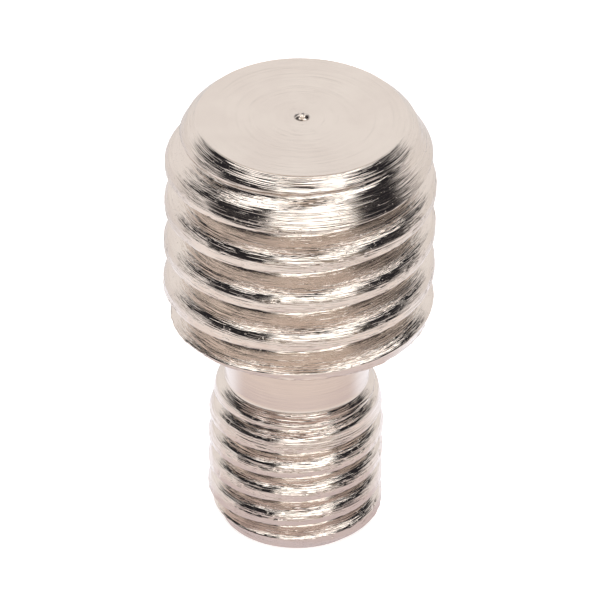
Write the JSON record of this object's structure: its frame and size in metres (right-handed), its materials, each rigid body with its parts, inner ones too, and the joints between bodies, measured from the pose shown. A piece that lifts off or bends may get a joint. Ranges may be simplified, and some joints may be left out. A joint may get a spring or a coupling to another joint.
{
  "type": "tripod thread adapter",
  "caption": "Double-ended threaded stud: a thick helical thread stands on a plain narrow neck above a thin helical thread, with a chamfered flat top face and a flat foot.",
  "frame": {"origin": "centre of the flat foot of the thin thread, which the stud stands on", "axes": "+Z along the stud's axis from the thin end up to the thick end, -Y towards the camera of the picture, +X to its right"},
  "size_m": [0.0092, 0.0092, 0.0161],
  "materials": {
    "metal": "bright turned metal with fine rings from the cutting tool, slightly warm in tone"
  },
  "bodies": {
    "root": {"stud": "metal"}
  },
  "joints": []
}
